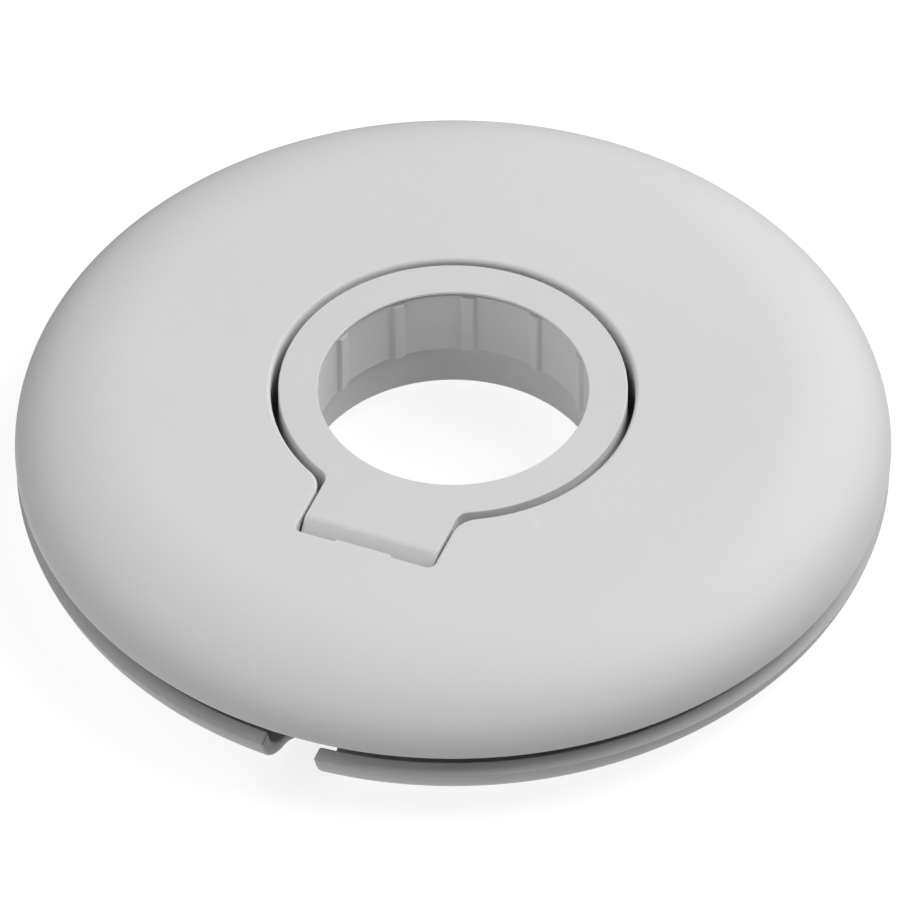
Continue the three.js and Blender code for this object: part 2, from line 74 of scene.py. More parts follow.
# ---------------------------------------------------------------- sizes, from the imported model

TOP = CAD_BOX[1][2] / MM
OUTER_RADIUS = cad_box("top_shell")[1][0]
RING_LOW, RING_HIGH = cad_box("flip_ring")
RING_RADIUS = RING_HIGH[0]
TAB_END = -RING_LOW[1]
PLATE_LOW, PLATE_HIGH = cad_box("ring_back_plate")
RING_BOTTOM = PLATE_LOW[2]
HUB_LOW, HUB_HIGH = cad_box("spool_hub")
COLLAR_LOW, COLLAR_HIGH = cad_box("hole_collar")
SKIRT_BOTTOM = cad_box("cord_skirt")[0][2]
FOOT_TOP = cad_box("foot_ring")[1][2]
HINGE_Y, HINGE_Z = (v / MM for v in frame["joints"][0]["pos_m"][1:])
BARREL = TOP - HINGE_Z
PIN_END = cad_box("hinge_pin")[1][0]
CLAMP_LOW, CLAMP_HIGH = cad_box("hinge_clamp")
SPRING_LOW, SPRING_HIGH = cad_box("friction_spring")

# Clearance between neighbours that touch.
GAP = 0.15

# Top shell: a flat top with a rounded shoulder, and a keyhole-shaped well for the ring.
SHELL_WALL = 1.8
CEILING = TOP - SHELL_WALL
FLAT_RADIUS = 33.0
DOME_EXPONENT = 1.94
WIDEST_Z = 9.4
RIM_BOTTOM = 9.1
RIM_TURN = 0.25
WELL_RADIUS = 19.0
WELL_TAB = 7.6
WELL_FILLET = 3.2
WELL_CORNER = 0.8
WELL_END = 25.05
WELL_WALL = 1.4
WELL_BOTTOM = 8.1
WELL_EDGE = 0.25
WELL_END_EDGE = 0.05
WELL_CLOSER = 0.15
PAD_DEPTH = 0.35
PAD_HALF = 3.05
GATE_HALF = 11.0
GATE_Y = -19.2
GATE_BOTTOM = 12.25
BOSS_RADIUS = 2.6
BOSS_BOTTOM = 2.8
EAR_RADIUS = 2.1

# Flip ring, its tab and its sleeve.
BORE = 14.0
POCKET = 15.4
TAB_HALF = 7.3
TAB_FILLET = 1.5
TAB_CORNER = 0.6
SLOPE = math.radians(46)
SLOPE_DISTANCE = 1.535
SLOPE_ROUND = 0.9
RING_EDGE = 0.12
LIP = 0.42
LIP_ROUND = 0.25
PLATE_SEAT = RING_BOTTOM + 1.15
SLEEVE_DROP = 0.45
SLEEVE_FLANGE = 15.85
RIB_COUNT = 12
RIB_HEIGHT = 0.4
RIB_HALF = 0.84
RIB_FLANK = 0.4
SLEEVE_WALL = BORE + RIB_HEIGHT
CORD_HALF = 2.4
CORD_HEIGHT = 4.1

# Hub, collar, skirt and foot. The notch's inner end is at NOTCH_INNER from the middle.
HUB_HOLE = 17.05
HUB_CHAMFER = 0.6
PLATE_TOP = HUB_LOW[2] + 1.6
WINDING_RADIUS = 30.0
WINDING_INNER = 28.6
WINDOW_HALF = 3.0
COLLAR_BORE = 15.55
COLLAR_WALL = 16.9
COLLAR_FOOT = 19.0
SKIRT_WIDEST = 45.37
SKIRT_FLAT = 36.9
SKIRT_WIDEST_Z = 7.5
SKIRT_LIP_WALL = 1.7
SKIRT_FLOOR = 1.5
SKIRT_EXPONENT = 1.9
NOTCH_HALF = 2.8
NOTCH_INNER = 36.5
NOTCH_ROUND = 0.3
NOTCH_INSET = 0.22
NOTCH_TURN = -0.0033
FOOT_INNER = 19.6
FOOT_OUTER = 28.8

# Hinge.
CLAMP_TOP = CLAMP_LOW[2] + 1.5
CLAMP_NEAR = -20.6
CLAMP_HALF = 9.3
POST_HALF = 0.7
GATE = CLAMP_TOP + GAP
PIN_RADIUS = 0.8
BUSH_RADIUS = 1.25
BUSH_LENGTH = 2.0

# Countersunk screws: head radius, head height, shank radius and length.
BASE_SCREW = (2.1, 1.1, 1.1, 8.0)
CLAMP_SCREW = (1.7, 0.9, 0.85, 4.4)
RING_SCREW = (0.85, 0.5, 0.5, 4.0)
BASE_SCREW_PLACES = [(18.4, 15.4), (-18.4, 15.4), (-18.4, -15.4), (18.4, -15.4)]
CLAMP_SCREW_PLACES = [(12.6, -21.4), (-12.6, -21.4)]
RING_SCREW_PLACES = [(16.85 * math.cos(a), 16.85 * math.sin(a)) for a in np.radians([30, 90, 150])]


# ---------------------------------------------------------------- outlines

def arc(x, y, radius, start, stop, steps):
    """Points and outward normals of an arc about (x, y)."""
    angles = np.linspace(start, stop, steps + 1)
    normals = np.stack([np.cos(angles), np.sin(angles)], 1)
    return np.array([x, y]) + radius * normals, normals


def line(a, b, normal, steps):
    """Points from a to b, all with the same normal."""
    t = np.linspace(0, 1, steps + 1)[:, None]
    points = np.array(a) * (1 - t) + np.array(b) * t
    return points, np.tile(normal, (steps + 1, 1))


def keyhole(radius, half, fillet, end, corner):
    """Points and outward normals of a circle that runs into a straight tab towards -Y."""
    fx = half + fillet
    fy = -math.sqrt((radius + fillet) ** 2 - fx**2)
    turn = math.atan2(-fy, fx)
    parts = [arc(0, 0, radius, -turn, math.pi + turn, 300)]
    points, normals = arc(-fx, fy, fillet, turn, 0, 20)
    parts.append((points, -normals))
    parts.append(line((-half, fy), (-half, corner - end), (-1, 0), 24))
    parts.append(arc(corner - half, corner - end, corner, math.pi, 1.5 * math.pi, 10))
    parts.append(line((corner - half, -end), (half - corner, -end), (0, -1), 110))
    parts.append(arc(half - corner, corner - end, corner, -0.5 * math.pi, 0, 10))
    parts.append(line((half, corner - end), (half, fy), (1, 0), 24))
    points, normals = arc(fx, fy, fillet, math.pi, math.pi - turn, 20)
    parts.append((points, -normals))
    points = np.concatenate([p[:-1] for p, _ in parts])
    normals = np.concatenate([n[:-1] for _, n in parts])
    return points, normals


def superquarter(centre_r, centre_z, half_width, half_height, steps, exponent):
    """(r, z) from the side to the top or bottom of a quarter superellipse."""
    t = np.linspace(0, math.pi / 2, steps + 1)
    across = np.clip(np.cos(t), 0, None) ** (2 / exponent)
    up = np.sin(t) ** (2 / exponent)
    return [(centre_r + half_width * a, centre_z + half_height * b) for a, b in zip(across, up)]


def rounded(corners, steps=6, support=0.05):
    """A closed (r, z) outline from (r, z) or (r, z, radius) corners.

    Each rounding has a support point on either side, which keeps the flats beside it flat in smooth shading.
    """
    count = len(corners)
    outline = []
    for i, corner in enumerate(corners):
        here = np.array(corner[:2], float)
        radius = corner[2] if len(corner) > 2 else 0
        if radius == 0:
            outline.append(tuple(here))
            continue
        before = np.array(corners[i - 1][:2], float) - here
        after = np.array(corners[(i + 1) % count][:2], float) - here
        long_before, long_after = np.linalg.norm(before), np.linalg.norm(after)
        before, after = before / long_before, after / long_after
        half = math.acos(max(-1, min(1, before @ after))) / 2
        reach = min(radius / math.tan(half), 0.49 * long_before, 0.49 * long_after)
        radius = reach * math.tan(half)
        middle = before + after
        centre = here + middle / np.linalg.norm(middle) * (radius / math.sin(half))
        first, last = here + before * reach - centre, here + after * reach - centre
        if reach + support < 0.5 * long_before:
            outline.append(tuple(here + before * (reach + support)))
        sweep = math.atan2(first[0] * last[1] - first[1] * last[0], first @ last)
        for k in range(steps + 1):
            a = sweep * k / steps
            turned_point = (
                first[0] * math.cos(a) - first[1] * math.sin(a),
                first[0] * math.sin(a) + first[1] * math.cos(a),
            )
            outline.append((centre[0] + turned_point[0], centre[1] + turned_point[1]))
        if reach + support < 0.5 * long_after:
            outline.append(tuple(here + after * (reach + support)))
    return outline


def resample(curve, count):
    """The given number of points, spread evenly along a curve."""
    curve = np.array(curve)
    along = np.concatenate([[0], np.cumsum(np.linalg.norm(np.diff(curve, axis=0), axis=1))])
    where = np.linspace(0, along[-1], count)
    return np.column_stack([np.interp(where, along, curve[:, k]) for k in (0, 1)])


# ---------------------------------------------------------------- meshes

# An edge that turns by more than this many degrees is shaded sharp.
SHARP_ANGLE = 35


def make_mesh(name, points, faces, sharp_angle=SHARP_ANGLE):
    """An object from points in millimetres: doubles merged, faces turned outwards, smooth shading."""
    mesh = bpy.data.meshes.new(name)
    mesh.from_pydata((np.asarray(points) * MM).tolist(), [], faces)
    bm = bmesh.new()
    bm.from_mesh(mesh)
    bmesh.ops.remove_doubles(bm, verts=bm.verts, dist=1.5e-6)
    bmesh.ops.recalc_face_normals(bm, faces=bm.faces)
    for face in bm.faces:
        face.smooth = True
    bm.to_mesh(mesh)
    bm.free()
    mesh.set_sharp_from_angle(angle=math.radians(sharp_angle))
    obj = bpy.data.objects.new(name, mesh)
    bpy.context.scene.collection.objects.link(obj)
    return obj


def grid_faces(rows, columns, closed_rows=True):
    """Quads of a grid that closes on itself along its columns, and along its rows unless told otherwise."""
    faces = []
    for i in range(rows if closed_rows else rows - 1):
        j = (i + 1) % rows
        for k in range(columns):
            m = (k + 1) % columns
            faces.append((i * columns + k, j * columns + k, j * columns + m, i * columns + m))
    return faces


def stand(points, place, axis):
    """Points made about Z, turned to the given axis and moved to their place."""
    points = np.asarray(points, float)
    if axis == "X":
        points = points[:, [2, 0, 1]]
    return points + np.array(place)


def turned(name, outline, sides, place=(0, 0, 0), axis="Z"):
    """A ring turned about its own axis from a closed (r, z) outline."""
    angles = np.linspace(0, 2 * math.pi, sides, endpoint=False)
    r, z = np.array(outline).T
    x = np.outer(np.cos(angles), r)
    y = np.outer(np.sin(angles), r)
    points = np.stack([x, y, np.tile(z, (sides, 1))], 2).reshape(-1, 3)
    return make_mesh(name, stand(points, place, axis), grid_faces(sides, len(outline)))


def spindle(name, outline, place=(0, 0, 0), axis="Z", sides=48):
    """A solid turned about its own axis from an open (r, z) outline that starts and ends on the axis."""
    r, z = np.array(outline[1:-1]).T
    angles = np.linspace(0, 2 * math.pi, sides, endpoint=False)
    ring = np.stack([np.outer(np.cos(angles), r), np.outer(np.sin(angles), r), np.tile(z, (sides, 1))], 2)
    columns = len(r)
    points = list(ring.reshape(-1, 3)) + [(0, 0, outline[0][1]), (0, 0, outline[-1][1])]
    first, last = len(points) - 2, len(points) - 1
    faces = []
    for i in range(sides):
        j = (i + 1) % sides
        faces.append((first, j * columns, i * columns))
        faces.append((last, i * columns + columns - 1, j * columns + columns - 1))
        for k in range(columns - 1):
            faces.append((i * columns + k, j * columns + k, j * columns + k + 1, i * columns + k + 1))
    return make_mesh(name, stand(points, place, axis), faces)


def block(name, low, high):
    """A box between two corners."""
    low, high = np.array(low, float), np.array(high, float)
    corners = [[(low, high)[(i >> b) & 1][b] for b in range(3)] for i in range(8)]
    faces = [(0, 2, 3, 1), (4, 5, 7, 6), (0, 1, 5, 4), (2, 6, 7, 3), (0, 4, 6, 2), (1, 3, 7, 5)]
    return make_mesh(name, corners, faces)


def apply_modifiers(obj):
    """Makes the modified shape the object's own mesh, smooth but for its sharp edges."""
    bpy.context.view_layer.update()
    made = bpy.data.meshes.new_from_object(obj.evaluated_get(bpy.context.evaluated_depsgraph_get()))
    obj.modifiers.clear()
    old = obj.data
    obj.data = made
    bpy.data.meshes.remove(old)
    obj.data.name = obj.name
    for polygon in obj.data.polygons:
        polygon.use_smooth = True
    obj.data.set_sharp_from_angle(angle=math.radians(SHARP_ANGLE))
    return obj


def combine(obj, others, operation):
    """Cuts the others out of obj, or joins them to it, and deletes them."""
    for other in others:
        boolean = obj.modifiers.new("combine", "BOOLEAN")
        boolean.operation = operation
        boolean.solver = "EXACT"
        boolean.object = other
        apply_modifiers(obj)
        bpy.data.objects.remove(other)
    return obj


def cut(obj, cutters):
    return combine(obj, cutters, "DIFFERENCE")


def soften(obj, width, segments=3):
    """Rounds every edge that is sharper than a turned face's own steps."""
    bevel = obj.modifiers.new("soften", "BEVEL")
    bevel.width = width * MM
    bevel.segments = segments
    bevel.limit_method = "ANGLE"
    bevel.angle_limit = math.radians(40)
    return apply_modifiers(obj)


def install(obj, body, slot, material, *replaced):
    """Gives a piece its material and body, and hides the CAD nodes that it stands for. The slot is not used.
    """
    obj.data.materials.clear()
    obj.data.materials.append(material)
    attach(obj, body)
    if replaced:
        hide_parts(*replaced)


# ---------------------------------------------------------------- materials

def noise(nodes, links, coordinates, scale, detail=2.0, roughness=0.5):
    """A noise value; its scale is in waves per metre."""
    node = nodes.new("ShaderNodeTexNoise")
    node.inputs["Scale"].default_value = scale
    node.inputs["Detail"].default_value = detail
    node.inputs["Roughness"].default_value = roughness
    links.new(coordinates, node.inputs["Vector"])
    return node.outputs["Fac"]


def spread(nodes, links, value, low, high, from_low=0.3, from_high=0.7):
    """Maps a value from its own range to low and high."""
    node = nodes.new("ShaderNodeMapRange")
    node.inputs["From Min"].default_value = from_low
    node.inputs["From Max"].default_value = from_high
    node.inputs["To Min"].default_value = low
    node.inputs["To Max"].default_value = high
    links.new(value, node.inputs["Value"])
    return node.outputs["Result"]


def new_material(name):
    """A Principled material; returns also its nodes, links, shader and object coordinates."""
    material = bpy.data.materials.new(name)
    material.use_nodes = True
    nodes, links = material.node_tree.nodes, material.node_tree.links
    nodes.clear()
    output = nodes.new("ShaderNodeOutputMaterial")
    shader = nodes.new("ShaderNodeBsdfPrincipled")
    links.new(shader.outputs["BSDF"], output.inputs["Surface"])
    coordinates = nodes.new("ShaderNodeTexCoord").outputs["Object"]
    return material, nodes, links, shader, coordinates


def tint(nodes, links, amount, dark, light):
    """A colour between dark and light."""
    mix = nodes.new("ShaderNodeMix")
    mix.data_type = "RGBA"
    mix.inputs["A"].default_value = (*dark, 1)
    mix.inputs["B"].default_value = (*light, 1)
    links.new(amount, mix.inputs["Factor"])
    return mix.outputs["Result"]


def arithmetic(nodes, links, operation, a, b):
    """The sum or product of two values."""
    node = nodes.new("ShaderNodeMath")
    node.operation = operation
    links.new(a, node.inputs[0])
    links.new(b, node.inputs[1])
    return node.outputs[0]


def bump(nodes, links, height, distance, strength, normal=None):
    """A normal that is tilted by a height, on top of another normal if one is given."""
    node = nodes.new("ShaderNodeBump")
    node.inputs["Distance"].default_value = distance
    node.inputs["Strength"].default_value = strength
    links.new(height, node.inputs["Height"])
    if normal is not None:
        links.new(normal, node.inputs["Normal"])
    return node.outputs["Normal"]


def moulded(name, colour, roughness, grain, depth, specular=0.35):
    """Moulded plastic or rubber: a spark-eroded grain, slow changes of colour and gloss, rubbed edges."""
    material, nodes, links, shader, coordinates = new_material(name)
    cloud = noise(nodes, links, coordinates, 45, 3)
    fine = noise(nodes, links, coordinates, grain, 3, 0.6)
    coarse = noise(nodes, links, coordinates, grain * 0.35, 2, 0.5)
    # The colour drifts slowly by 1.5 % either way.
    drift = 0.015
    mottle = arithmetic(nodes, links, "ADD", spread(nodes, links, cloud, 0.0, 0.6),
                        spread(nodes, links, coarse, 0.0, 0.4))
    dark = [c * (1 - drift) for c in colour]
    light = [min(1, c * (1 + drift)) for c in colour]
    body = tint(nodes, links, mottle, dark, light)
    # Convex edges are rubbed 3 % lighter, in patches.
    wear = 0.03
    pointed = nodes.new("ShaderNodeNewGeometry").outputs["Pointiness"]
    rubbed = spread(nodes, links, pointed, 0.0, 1.0, 0.53, 0.62)
    patchy = spread(nodes, links, noise(nodes, links, coordinates, 400, 3), 0.2, 1.0)
    rubbed = arithmetic(nodes, links, "MULTIPLY", rubbed, patchy)
    mix = nodes.new("ShaderNodeMix")
    mix.data_type = "RGBA"
    mix.inputs["B"].default_value = (*[min(1, c * (1 + wear)) for c in colour], 1)
    links.new(rubbed, mix.inputs["Factor"])
    links.new(body, mix.inputs["A"])
    links.new(mix.outputs["Result"], shader.inputs["Base Color"])
    # The gloss changes both slowly and with the grain.
    sway = 0.05
    uneven = arithmetic(nodes, links, "ADD", spread(nodes, links, cloud, 0, 0.5),
                        spread(nodes, links, fine, 0, 0.5))
    gloss = spread(nodes, links, uneven, roughness - sway, roughness + sway, 0.0, 1.0)
    links.new(gloss, shader.inputs["Roughness"])
    shader.inputs["Specular IOR Level"].default_value = specular
    first = bump(nodes, links, fine, depth, 0.6)
    second = bump(nodes, links, coarse, depth * 1.5, 0.4, first)
    links.new(second, shader.inputs["Normal"])
    return material


def metal(name, colour, roughness, scratches):
    """Turned or rolled steel with fine tool marks."""
    material, nodes, links, shader, coordinates = new_material(name)
    stretch = nodes.new("ShaderNodeMapping")
    stretch.inputs["Scale"].default_value = (0.15, 1, 1)
    links.new(coordinates, stretch.inputs["Vector"])
    marks = noise(nodes, links, stretch.outputs["Vector"], scratches, 4, 0.65)
    cloud = noise(nodes, links, coordinates, 300, 2)
    links.new(tint(nodes, links, cloud, [c * 0.85 for c in colour], colour), shader.inputs["Base Color"])
    links.new(spread(nodes, links, marks, roughness - 0.1, roughness + 0.12), shader.inputs["Roughness"])
    shader.inputs["Metallic"].default_value = 1.0
    links.new(bump(nodes, links, marks, 0.000008, 0.5), shader.inputs["Normal"])
    return material


SHELL_PLASTIC = moulded("shell_satin_plastic", (0.672, 0.672, 0.668), 0.52, 6500, 0.000016)
RING_PLASTIC = moulded("ring_satin_plastic", (0.655, 0.655, 0.651), 0.48, 7500, 0.000012)
SKIRT_RUBBER = moulded("skirt_soft_rubber", (0.50, 0.50, 0.498), 0.62, 5200, 0.00002, 0.3)
SLEEVE_RUBBER = moulded("sleeve_soft_rubber", (0.585, 0.585, 0.583), 0.6, 5200, 0.000018, 0.3)
# The collar's plastic is the shell's plastic painted darker. This is painted shade for the hole's wall under
# the sleeve's overhang.
COLLAR_PLASTIC_PAINTED_SHADE = moulded("collar_plastic_painted_shade", (0.57, 0.57, 0.568), 0.55, 6500, 0.000016)
FOOT_RUBBER = moulded("foot_rubber", (0.27, 0.275, 0.28), 0.8, 3800, 0.00004, 0.2)
ACETAL = moulded("natural_acetal", (0.84, 0.825, 0.78), 0.38, 4200, 0.00001, 0.45)
STEEL = metal("zinc_steel", (0.56, 0.57, 0.58), 0.34, 9000)


# ---------------------------------------------------------------- shell

def top_shell():
    """The domed cover with its well, screw posts and the cradle over the hinge pin."""
    outline, normals = keyhole(WELL_RADIUS, WELL_TAB, WELL_FILLET, WELL_END, WELL_CORNER)
    # The middle of the end wall stands a little towards the barrel.
    on_end = outline[:, 1] < -WELL_END + 1e-6
    bulge = np.clip((PAD_HALF + 0.06 - np.abs(outline[:, 0])) / 0.12, 0, 1)
    outline[on_end, 1] += PAD_DEPTH * bulge[on_end]
    direction = outline / np.linalg.norm(outline, axis=1)[:, None]
    # The top edge is rounded beside the tab, and nearly crisp at the tab's end.
    at_end = np.clip(-normals[:, 1] * (outline[:, 1] < -24), 0, 1)
    fillet = WELL_EDGE + (WELL_END_EDGE - WELL_EDGE) * at_end
    # Round the ring the wall stands closer, and its edge is a longer, softer curve.
    fade = 1.2
    round_ring = np.clip((WELL_RADIUS + fade - np.linalg.norm(outline, axis=1)) / fade, 0, 1)
    round_ring = round_ring * round_ring * (3 - 2 * round_ring)
    wall = -WELL_CLOSER * round_ring
    across_edge = fillet + 0.17 * round_ring
    down_edge = fillet + 0.3 * round_ring
    # The wall stops higher at the gate, where the ring's neck and the cord pass.
    in_gate = (np.abs(outline[:, 0]) < GATE_HALF) & (outline[:, 1] < GATE_Y)
    wall_bottom = np.where(in_gate, GATE_BOTTOM, WELL_BOTTOM)

    def near(offset, z):
        """A row that follows the well's outline at an offset."""
        plan = outline + normals * np.reshape(offset, (-1, 1))
        return np.column_stack([plan, np.broadcast_to(z, len(outline))])

    def far(radius, z):
        """A row on a circle."""
        return np.column_stack([direction * radius, np.full(len(outline), z)])

    edge = 0.06
    loop = [near(WELL_WALL, wall_bottom), near(wall + edge, wall_bottom), near(wall, wall_bottom + edge)]
    loop.append(near(wall, TOP - down_edge - edge))
    for a in np.linspace(0, math.pi / 2, 12):
        loop.append(near(wall + across_edge * (1 - math.cos(a)), TOP - down_edge * (1 - math.sin(a))))
    start = near(wall + across_edge + edge, TOP)
    loop.append(start)
    finish = far(FLAT_RADIUS, TOP)
    for t in (0.3, 0.65):
        loop.append(start * (1 - t) + finish * t)
    width, drop = OUTER_RADIUS - FLAT_RADIUS, TOP - WIDEST_Z
    for r, z in reversed(superquarter(FLAT_RADIUS, WIDEST_Z, width, drop, 40, DOME_EXPONENT)):
        loop.append(far(r, z))
    for a in np.linspace(0.2, math.pi / 2, 6):
        turn_z = WIDEST_Z - (WIDEST_Z - RIM_BOTTOM) * math.sin(a)
        loop.append(far(OUTER_RADIUS - RIM_TURN * (1 - math.cos(a)), turn_z))
    loop.append(far(OUTER_RADIUS - RIM_TURN - 0.07, RIM_BOTTOM))
    inner_radius = OUTER_RADIUS - SHELL_WALL
    loop.append(far(inner_radius + edge, RIM_BOTTOM))
    loop.append(far(inner_radius, RIM_BOTTOM + edge))
    width, drop = width - SHELL_WALL, drop - SHELL_WALL
    for r, z in superquarter(FLAT_RADIUS, WIDEST_Z, width, drop, 16, DOME_EXPONENT):
        loop.append(far(r, z))
    loop.append(near(WELL_WALL, TOP - SHELL_WALL))
    points = np.stack(loop, 1).reshape(-1, 3)
    shell = make_mesh("shell_cover", points, grid_faces(len(outline), len(loop)))
    above = CEILING + 0.5
    extras = []
    for side in (-1, 1):
        low_x, high_x = sorted((side * (WELL_TAB + 0.01), side * (PIN_END + 0.3)))
        extras.append(block("cradle", (low_x, CLAMP_LOW[1], GATE), (high_x, CLAMP_NEAR + 0.4, above)))
    extras += [post("boss", x, y, BOSS_RADIUS, BOSS_BOTTOM, above) for x, y in BASE_SCREW_PLACES]
    extras += [post("ear", x, y, EAR_RADIUS, GATE, above) for x, y in CLAMP_SCREW_PLACES]
    combine(shell, extras, "UNION")
    slot = PIN_RADIUS + GAP
    reach = PIN_END + GAP
    room = [(0, -reach), (slot, -reach), (slot, reach), (0, reach)]
    hollows = [
        spindle("pin_room", room, (0, HINGE_Y, HINGE_Z), "X"),
        block("pin_way", (-reach, HINGE_Y - slot, 10), (reach, HINGE_Y + slot, HINGE_Z)),
    ]
    hollows += [screw_room(x, y, HUB_LOW[2], BASE_SCREW) for x, y in BASE_SCREW_PLACES]
    hollows += [screw_room(x, y, CLAMP_LOW[2], CLAMP_SCREW) for x, y in CLAMP_SCREW_PLACES]
    return cut(shell, hollows)


# ---------------------------------------------------------------- ring and its sleeve

# The tab's top runs into the slope at its end by a rounding, which starts at ROLL_Y and ends at ROLL_END.
CORNER_Y = HINGE_Y - (SLOPE_DISTANCE - BARREL * math.cos(SLOPE)) / math.sin(SLOPE)
ROLL_Y = CORNER_Y + SLOPE_ROUND * math.tan(SLOPE / 2)
ROLL_END = ROLL_Y - SLOPE_ROUND * math.sin(SLOPE)


def barrel(y):
    """Height from the hinge's axis to the round end's surface at y."""
    past = np.clip((HINGE_Y - y) / BARREL, 0, 1)
    return BARREL * np.sqrt(1 - past**2)


def tab_top(y):
    """Height above the hinge's axis of the tab's upper surface at y."""
    rounding = np.sqrt(np.clip(SLOPE_ROUND**2 - (y - ROLL_Y) ** 2, 0, None)) - SLOPE_ROUND
    flat = (SLOPE_DISTANCE + math.sin(SLOPE) * (y - HINGE_Y)) / math.cos(SLOPE)
    rolled = np.where(y > ROLL_Y, BARREL, np.where(y > ROLL_END, BARREL + rounding, flat))
    return np.minimum(rolled, barrel(y))


def ring_body():
    """The ring with its tab, rolled hinge end, sleeve pocket and lip."""
    outline, normals = keyhole(RING_RADIUS, TAB_HALF, TAB_FILLET, TAB_END, TAB_CORNER)
    radius = np.linalg.norm(outline, axis=1)
    direction = outline / radius[:, None]
    count = len(outline)
    overhang = np.clip(radius - RING_RADIUS, 0, None)
    fillet = np.where(outline[:, 1] < HINGE_Y, RING_EDGE * np.abs(normals[:, 0]), RING_EDGE)
    lower_fillet = np.minimum(fillet, overhang * 0.5)

    def far(r, z):
        return np.column_stack([direction * np.reshape(r, (-1, 1)), np.broadcast_to(z, count)])

    def top_skin(plan, drop=0.0):
        return np.column_stack([plan, HINGE_Z + tab_top(plan[:, 1]) - drop])

    def under_skin(plan, drop=0.0):
        return np.column_stack([plan, HINGE_Z - barrel(plan[:, 1]) + drop])

    loop = []
    for a in np.linspace(0, math.pi / 2, 7):
        loop.append(far(BORE + RING_EDGE * (1 - math.cos(a)), TOP - RING_EDGE * (1 - math.sin(a))))
    start = direction * (BORE + RING_EDGE + 0.05)
    loop.append(top_skin(start))

    def across(edge_plan, inner_plan, skin, rows_y):
        """The tab's face from inner_plan out to edge_plan, with a row at each y of rows_y."""
        knee_y = rows_y[0]
        turning = edge_plan[:, 1] < knee_y
        span = np.where(turning, edge_plan[:, 1] - inner_plan[:, 1], -1.0)
        share = np.where(turning, (knee_y - inner_plan[:, 1]) / span, 1.0)
        knee = inner_plan + (edge_plan - inner_plan) * share[:, None]
        rows = [skin(inner_plan + (knee - inner_plan) * t) for t in (0.35, 0.7, 0.99)]
        reach = np.where(turning, edge_plan[:, 1] - knee[:, 1], -1.0)
        for y in rows_y:
            t = np.where(turning, np.clip((y - knee[:, 1]) / reach, 0, 1), 1.0)
            rows.append(skin(knee + (edge_plan - knee) * t[:, None]))
        rows.append(skin(edge_plan))
        return rows

    def rolled_edge(size, skin):
        rows = []
        for a in np.linspace(0, math.pi / 2, 7):
            plan = outline - normals * (size * (1 - math.sin(a)))[:, None]
            rows.append(skin(plan, size * (1 - math.cos(a))))
        return rows

    roll = [ROLL_Y + 0.02]
    roll += list(np.linspace(ROLL_Y, ROLL_END, 12))
    roll += list(np.linspace(ROLL_END, -TAB_END, 9)[1:-1])
    loop += across(outline - normals * (fillet + 0.04)[:, None], start, top_skin, roll)
    loop += rolled_edge(fillet, top_skin)
    loop += reversed(rolled_edge(lower_fillet, under_skin))
    foot = direction * RING_RADIUS
    under = list(HINGE_Y - BARREL * np.sin(np.linspace(0, 0.5 * math.pi, 15)))
    loop += reversed(across(outline - normals * (lower_fillet * 1.1)[:, None], foot, under_skin, under))
    loop.append(far(RING_RADIUS, HINGE_Z - BARREL))
    # Outer wall's foot, the step that takes the sleeve's flange, the sleeve's pocket and the lip over it.
    seat, step = PLATE_SEAT, SLEEVE_FLANGE + GAP
    for r, z in ((RING_RADIUS, seat + 0.1), (RING_RADIUS - 0.1, seat), (step + 0.05, seat),
                 (step, seat + 0.8), (POCKET, seat + 0.85), (POCKET, TOP - LIP - 0.02),
                 (POCKET - 0.05, TOP - LIP), (BORE + LIP_ROUND, TOP - LIP)):
        loop.append(far(r, z))
    for a in np.linspace(0.3, math.pi / 2, 5):
        loop.append(far(BORE + LIP_ROUND * (1 - math.sin(a)), TOP - LIP + LIP_ROUND * (1 - math.cos(a))))
    points = np.stack(loop, 1).reshape(-1, 3)
    body = make_mesh("flip_ring_body", points, grid_faces(count, len(loop)))
    hinge = (0, HINGE_Y, HINGE_Z)
    hole, seat, past = PIN_RADIUS + GAP, BUSH_RADIUS + 0.08, 9
    way = [(0, -past), (hole, -past), (hole, past), (0, past)]
    hollows = [cord_slot(), spindle("pin_hole", way, hinge, "X")]
    for side in (-1, 1):
        low, high = sorted((side * (TAB_HALF - BUSH_LENGTH - GAP), side * past))
        room = [(0, low), (seat, low), (seat, high), (0, high)]
        hollows.append(spindle("seat", room, hinge, "X"))
    hollows += [screw_room(x, y, RING_BOTTOM, RING_SCREW) for x, y in RING_SCREW_PLACES]
    return cut(body, hollows)


